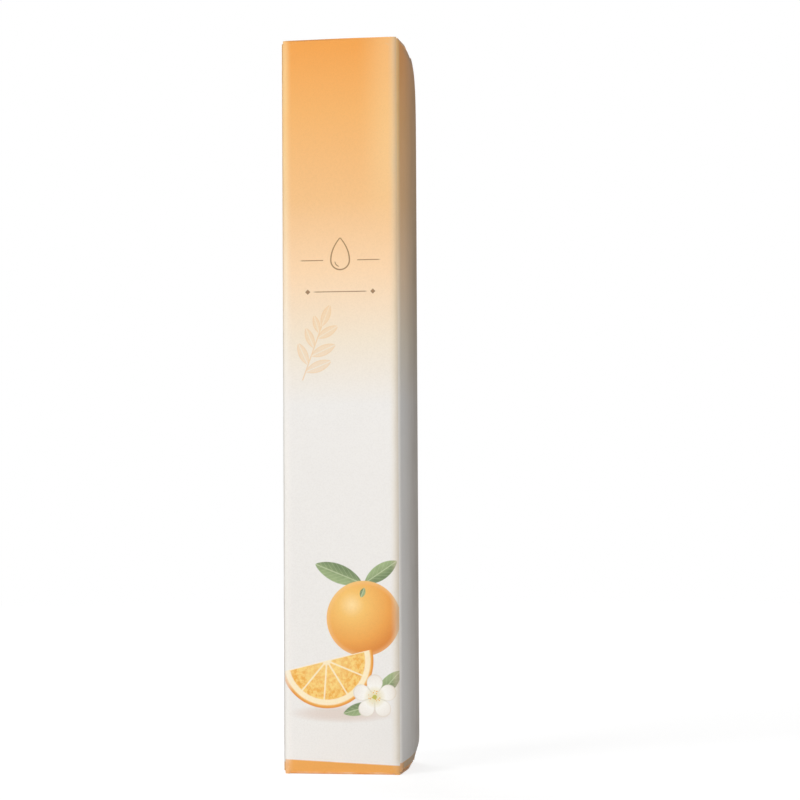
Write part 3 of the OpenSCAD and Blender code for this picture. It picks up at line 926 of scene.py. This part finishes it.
def around(bm, change):
    """Moves every point of a turned body in or out, by its radius, angle and height."""
    for v in bm.verts:
        radius, angle = hypot(v.co.x, v.co.y), atan2(v.co.y, v.co.x)
        if radius > 1e-4:
            grown = change(radius, angle, v.co.z) / radius
            v.co.x *= grown
            v.co.y *= grown


def low_high(node):
    low, high = node_box(node)
    return low.z, high.z


def add_to(bm, other):
    """Adds another mesh, and gives it up."""
    spare = bpy.data.meshes.new("spare")
    other.to_mesh(spare)
    other.free()
    bm.from_mesh(spare)
    bpy.data.meshes.remove(spare)


# Radii: outside, inside the barrel, and of what slides in it
pen_r = node_box("barrel")[1].x
bore = pen_r - 1.0
slide = bore - 0.05
cap_bore = pen_r - 0.8
neck_r, holder_r, tube_r, nut_r = 5.0, 2.6, 1.0, 2.55
# Steps round the axis for a smooth outline, and the angles from which an edge is sharp, if not 35 degrees
FINE = 240
SHARP = {"brush_bristles": 60, "cap_shell": 50}


def barrel(low, high):
    section = [(bore, low, 0.12), (pen_r, low, 0.2), (pen_r, high, 0.2), (bore, high, 0.12)]
    return turned_body(*section, steps=FINE)


def barrel_label(low, high):
    """The film's two ends stop short of each other at the back."""
    outside = pen_r + 0.1
    gap = radians(4)
    bm = bmesh.new()
    section = [(pen_r, low, 0), (outside, low, 0.03), (outside, high, 0.03), (pen_r, high, 0)]
    edges = section_of(bm, section)
    ops.rotate(bm, verts=bm.verts, cent=(0, 0, 0), matrix=about_z(pi / 2 + gap / 2))
    spin(bm, edges, 2 * pi - gap, 119)
    close_holes(bm)
    rows(bm, 2, [low + (high - low) * i / 12 for i in range(1, 12)])
    return bm


def twist_knob(low, top):
    """A grip with 24 grooves, and a driver with two pawls and a bore that fits the screw's flats."""
    foot, collar, driver = low + 1.2, low + 10, low + 16
    driver_r, driver_bore = 4.0, 2.3
    bm = turned_body(
        (0, low + 0.35, 0), (2.4, low + 0.35, 0.1), (3.0, low, 0.25), (pen_r - 0.6, low, 0.3),
        (pen_r, low + 0.6, 0.3), (pen_r, collar, 0.25), (slide, collar, 0.05), (slide, driver, 0.15),
        (driver_r, driver, 0.1), (driver_r, top, 0.2), (driver_bore, top, 0.15), (driver_bore, foot, 0),
        (0, foot, 0),
        steps=FINE,
    )
    start, stop = low + 1.6, collar - 1.6
    for end, way in ((start, 1), (stop, -1)):
        rows(bm, 2, [end + way * d for d in (-0.05, 0.1, 0.25, 0.45)])

    def grooved(radius, angle, z):
        if radius > pen_r - 0.02:
            off = (angle % (pi / 12) - pi / 24) * pen_r
            ends = ease((z - start + 0.05) / 0.5) * ease((stop + 0.05 - z) / 0.5)
            return radius - 0.17 * max(0.0, 1 - (off / 0.32) ** 2) * ends
        if radius < driver_bore + 0.01 and z > foot - 0.01:
            return min(radius, 1.85 / max(0.3, abs(cos(angle))))
        return radius

    around(bm, grooved)
    for side in (-1, 1):
        place = Matrix.Translation((side * driver_r, 0, driver + 1.5))
        made = ops.create_cone(bm, cap_ends=True, segments=24, radius1=0.5, radius2=0.5, depth=3, matrix=place)
        around_pawl = dict.fromkeys(e for v in made["verts"] for e in v.link_edges)
        rims = [e for e in around_pawl if abs(e.verts[0].co.z - e.verts[1].co.z) < 1e-6]
        round_off(bm, rims, 0.1, 3, "EDGES")
    return bm


def click_ring(low, high):
    """A ring with 12 notches, for the knob's pawls."""
    inner, step, notch_r = bore - 0.9, pi / 6, 0.5
    section = [(inner, low, 0.1), (bore, low, 0.15), (bore, high, 0.15), (inner, high, 0.1)]
    bm = turned_body(*section, steps=FINE)

    def notched(radius, angle, z):
        if radius > inner + 0.2:
            return radius
        off = ((angle + step / 2) % step - step / 2) * inner
        return radius + sqrt(max(0.0, notch_r**2 - off**2))

    around(bm, notched)
    return bm


def thread_nut(low, high):
    crest = nut_r - 0.25
    teeth = []
    for i in range(5, -1, -1):
        z = low + 0.35 + i * 0.6
        teeth += [(nut_r, z + 0.42, 0), (crest, z + 0.3, 0), (crest, z + 0.12, 0), (nut_r, z, 0)]
    return turned_body((nut_r, low, 0), (bore, low, 0.2), (bore, high, 0.2), (nut_r, high, 0), *teeth, steps=72)


def lead_screw(low, top):
    """A two-start thread with a flat on both sides, and the button that carries the piston."""
    neck = top - 1.2
    lead, steps, flat_off = 3.0, 36, 1.8
    root, crest = 1.95, 2.25
    turns = int((neck - low) / lead) + 3
    tooth = ((root, 0), (crest, 0.35), (crest, 0.8), (root, 1.15))
    chain = [(r, z + start) for start in (0, lead / 2) for r, z in tooth] + [(root, lead)]
    bm = bmesh.new()
    verts = [bm.verts.new((r, 0, low - 1.5 * lead + z)) for r, z in chain]
    edges = [bm.edges.new(pair) for pair in zip(verts, verts[1:])]
    spin(bm, verts + edges, 2 * pi * turns, steps * turns, dvec=(0, 0, lead / steps))
    ops.remove_doubles(bm, verts=bm.verts, dist=1e-3)
    ends = (((0, 0, low), (0, 0, -1)), ((0, 0, neck), (0, 0, 1)))
    flats = (((flat_off, 0, 0), (1, 0, 0)), ((-flat_off, 0, 0), (-1, 0, 0)))
    for place, direction in ends + flats:
        cut(bm, place, direction, clear_outer=True)
        close_holes(bm)
    button = turned_body((0, neck, 0), (2.7, neck, 0.2), (2.7, top, 0.3), (0, top, 0), steps=64)
    ops.recalc_face_normals(button, faces=button.faces)
    add_to(bm, button)
    return bm


def piston(low, high):
    """A waisted piston with a groove for its ring, and a pocket that snaps over the screw's button."""
    ring_middle = sum(low_high("piston_ring")) / 2
    below, above = ring_middle - 0.64, ring_middle + 0.64
    floor, waist, grip, room = slide - 1.24, slide - 0.35, 2.3, 2.75
    pocket, pocket_top = low + 2.45, low + 3.75
    return turned_body(
        (grip, low, 0.15), (slide, low, 0.2), (slide, low + 1.2, 0.1), (waist, low + 1.6, 0.1),
        (waist, below - 0.8, 0.1), (slide, below - 0.4, 0.1), (slide, below, 0.05), (floor, below, 0.1),
        (floor, above, 0.1), (slide, above, 0.05), (slide, high, 0.15), (0, high, 0),
        (0, pocket_top, 0), (room, pocket_top, 0.1), (room, pocket, 0.1), (grip, pocket, 0.05),
    )


def piston_ring(low, high):
    thick = 0.6
    place = Matrix.Translation((slide - thick, 0, (low + high) / 2)) @ Matrix.Rotation(pi / 2, 4, "X")
    bm = bmesh.new()
    ops.create_circle(bm, segments=24, radius=thick, matrix=place)
    full_spin(bm, bm.edges[:], 96)
    return bm


def oil_fill(low, high):
    """The oil wets the wall, so its upper face is a little hollow."""
    return turned_body(
        (0, low, 0), (slide, low, 0.02), (slide, high, 0), (slide - 0.5, high - 0.1, 0.05),
        (slide - 1.6, high - 0.22, 0.2), (0, high - 0.26, 0),
    )


def neck_plug(low, top):
    """A ribbed plug in the barrel, its shoulder, and the neck with a bead that the cap's liner snaps on."""
    shoulder, foot = low + 4.5, low + 5.5
    bead, bead_r = foot + 3.25, neck_r + 0.15
    core, seat = bore - 0.12, top - 6
    ribs = []
    for z in (low + 1.0, low + 2.2, low + 3.4):
        ribs += [(core, z - 0.3, 0), (bore, z - 0.1, 0), (bore, z + 0.1, 0), (core, z + 0.3, 0)]
    return turned_body(
        (tube_r, low, 0.1), (core, low, 0.2), *ribs, (core, shoulder, 0), (pen_r, shoulder, 0.12),
        (pen_r, foot, 0.2), (neck_r, foot, 0.08), (neck_r, bead - 0.5, 0.05), (bead_r, bead - 0.15, 0.1),
        (bead_r, bead + 0.15, 0.1), (neck_r, bead + 0.5, 0.05), (neck_r, top, 0.3),
        (holder_r, top, 0.1), (holder_r, seat, 0), (tube_r, seat, 0),
        steps=FINE,
    )


def neck_ring(low, high):
    outside = neck_r + 0.45
    return turned_body((neck_r, low, 0.08), (outside, low, 0.15), (outside, high, 0.2), (neck_r, high, 0.15))


def brush_holder(low, high):
    seat, root = low + 6, high - 3
    flange, mouth = 3.2, 1.7
    return turned_body(
        (tube_r, low, 0.1), (holder_r, low, 0.2), (holder_r, seat, 0), (flange, seat, 0.12),
        (flange, seat + 0.8, 0.25), (holder_r, seat + 0.8, 0.1), (2.45, seat + 3.2, 0.3),
        (2.2, high, 0.15), (mouth, high, 0.1), (mouth, root, 0), (tube_r, root, 0),
        steps=72,
    )


def feed_tube(low, high):
    return turned_body((0.6, low, 0.05), (tube_r, low, 0.08), (tube_r, high, 0.08), (0.6, high, 0.05), steps=40)


def brush_bristles(low, high):
    """A tuft of single strands, set round the feed tube, that fans a little and closes to a soft point."""
    free, count, levels, strand_r = 12, 360, 9, 0.075
    mouth = high - free
    clear_of_tube = tube_r + strand_r + 0.015
    golden_angle = 2.39996
    chance = random.Random(11)
    strand = bmesh.new()
    ops.create_circle(strand, segments=5, radius=strand_r)
    edges = strand.edges[:]
    for _ in range(levels):
        grown = ops.extrude_edge_only(strand, edges=edges)
        verts = moved_on(strand, grown, (0, 0, 1))
        edges = [g for g in grown["geom"] if isinstance(g, bmesh.types.BMEdge) and set(g.verts) <= set(verts)]
    close_holes(strand)
    ops.recalc_face_normals(strand, faces=strand.faces)
    spare = bpy.data.meshes.new("strand")
    strand.to_mesh(spare)
    strand.free()
    bm = bmesh.new()
    for n in range(count):
        share = sqrt((n + 0.5) / count)
        angle = n * golden_angle + chance.uniform(-0.1, 0.1)
        length = (high - low) - 1.6 * share**3 - chance.uniform(0, 0.5) - 0.1
        lean = chance.uniform(-0.05, 0.05)
        others = len(bm.verts)
        bm.from_mesh(spare)
        bm.verts.ensure_lookup_table()
        for v in bm.verts[others:]:
            t = v.co.z / levels
            z = low + length * t
            up = (z - mouth) / free
            spread = ease((z - low) / 6)
            root = 1.08 + 0.54 * share
            swell = 1.7 + 0.4 * ease(up * 3) - 1.42 * ease((up - 0.45) / 0.55)
            radius = root * (1 - spread) + share * (swell - 0.08) * spread
            if z < mouth + 1.05:
                radius = max(radius, clear_of_tube)
            taper = 1 - 0.75 * ease((t - 0.8) / 0.2)
            a = angle + lean * max(0.0, up)
            v.co = (radius * cos(a) + v.co.x * taper, radius * sin(a) + v.co.y * taper, z)
    bpy.data.meshes.remove(spare)
    return bm


def cap_shell(low, top):
    """A tube with a domed end and a groove near its mouth."""
    roof, dome_rise, groove_r = 1.2, 5, pen_r - 0.12
    shoulder = top - dome_rise
    sphere = (pen_r**2 + dome_rise**2) / (2 * dome_rise)
    middle = top - sphere
    start = asin((shoulder - middle) / sphere)
    outer, inner = [], []
    for i in range(1, 12):
        a = start + (pi / 2 - start) * i / 12
        outer.append((sphere * cos(a), middle + sphere * sin(a), 0))
        inside = sphere - roof
        inner.append((min(cap_bore, inside * cos(a)), middle + inside * sin(a), 0))
    return turned_body(
        (cap_bore, low, 0.1), (pen_r, low, 0.25), (pen_r, low + 1.7, 0.05), (groove_r, low + 1.85, 0.03),
        (groove_r, low + 2.25, 0.03), (pen_r, low + 2.4, 0.05), (pen_r, shoulder, 0.6), *outer,
        (0, top, 0), (0, top - roof, 0), *reversed(inner), (cap_bore, shoulder - roof, 0.1),
        steps=128,
    )


def cap_liner(low, top):
    grip, hole, web = cap_bore - 0.45, 3.7, top - 1
    return turned_body(
        (grip, low, 0.1), (cap_bore, low, 0.1), (cap_bore, top, 0.1), (hole, top, 0.15),
        (hole, web, 0.15), (grip, web, 0.1),
    )


for draw, body, slot in (
    (barrel, "pen", "clear_plastic"),
    (barrel_label, "pen", "label_film"),
    (twist_knob, "knob", "white_plastic"),
    (click_ring, "pen", "drive_plastic"),
    (thread_nut, "pen", "drive_plastic"),
    (lead_screw, "screw", "drive_plastic"),
    (piston, "piston", "white_plastic"),
    (piston_ring, "piston", "seal_rubber"),
    (oil_fill, "pen", "amber_oil"),
    (neck_plug, "pen", "white_plastic"),
    (neck_ring, "pen", "seal_rubber"),
    (brush_holder, "pen", "clear_plastic"),
    (feed_tube, "pen", "feed_steel"),
    (brush_bristles, "pen", "brush_nylon"),
    (cap_shell, "cap", "white_plastic"),
    (cap_liner, "cap", "drive_plastic"),
):
    node = draw.__name__
    low, high = low_high(node)
    finish = "frosted_plastic" if node == "brush_holder" else slot
    made = piece(draw(low, high), node, [finish], body, SHARP.get(node, 35))
    if node == "oil_fill":
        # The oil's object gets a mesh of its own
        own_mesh(made)

# Camera, light and floor

view = bpy.data.cameras.new("camera")
view.lens, view.sensor_width = 112.5, 36
camera = placed("camera", view)
yaw, pitch, roll = (radians(a) for a in (9.36, 1.92, -0.30))
ahead = Vector((-sin(yaw) * cos(pitch), cos(yaw) * cos(pitch), sin(pitch)))
level = Vector((cos(yaw), sin(yaw), 0))
above = level.cross(ahead)
right = level * cos(roll) + above * sin(roll)
top = above * cos(roll) - level * sin(roll)
turn = Matrix((right, top, -ahead)).transposed().to_4x4()
camera.matrix_world = Matrix.Translation((0.0883, -0.4777, 0.0548)) @ turn
view.clip_start, view.clip_end = 0.02, 20
bpy.context.scene.camera = camera
bpy.context.scene.view_settings.view_transform = "Standard"


def lamp(name, place, aim, size, power):
    light = bpy.data.lights.new(name, "AREA")
    light.size, light.energy = size, power
    made = placed(name, light)
    made.location = place
    made.rotation_euler = (Vector(aim) - Vector(place)).to_track_quat("-Z", "Y").to_euler()


lamp("key", (-0.75, -0.95, 0.75), (0, 0, 0.06), 0.7, 8.9)
lamp("fill", (0.45, -1.35, 0.3), (0, 0, 0.07), 0.5, 7.5)
lamp("rear", (-0.6, 1.0, 0.7), (0, 0, 0.06), 0.8, 8)

sky = Finish("studio", bpy.data.worlds)
dim = sky.add("Background", {"Color": WHITE, "Strength": 0.155})
bright = sky.add("Background", {"Color": WHITE})
mixed = sky.add("MixShader", {0: sky.seen(), 1: dim, 2: bright})
bpy.context.scene.world = sky.close(mixed, "OutputWorld")


def studio_floor():
    bm = bmesh.new()
    ops.create_circle(bm, cap_ends=True, radius=6, segments=64)
    mesh = bpy.data.meshes.new("floor")
    bm.to_mesh(mesh)
    bm.free()
    made = placed("floor", mesh)
    made.location.z = -0.00002
    art = Finish("floor")
    far = ((art.x * art.x + art.y * art.y) ** 0.5).fade(120, 700)
    glow = art.seen() * (far * 0.4 + 0.6)
    matt = art.add("BsdfDiffuse", {"Color": (0.92, 0.92, 0.92, 1)})
    light = art.add("Emission", {"Color": WHITE, "Strength": 1.33 - far * 0.33})
    both = art.add("MixShader", {0: glow, 1: matt, 2: light})
    mesh.materials.append(art.close(both))


studio_floor()
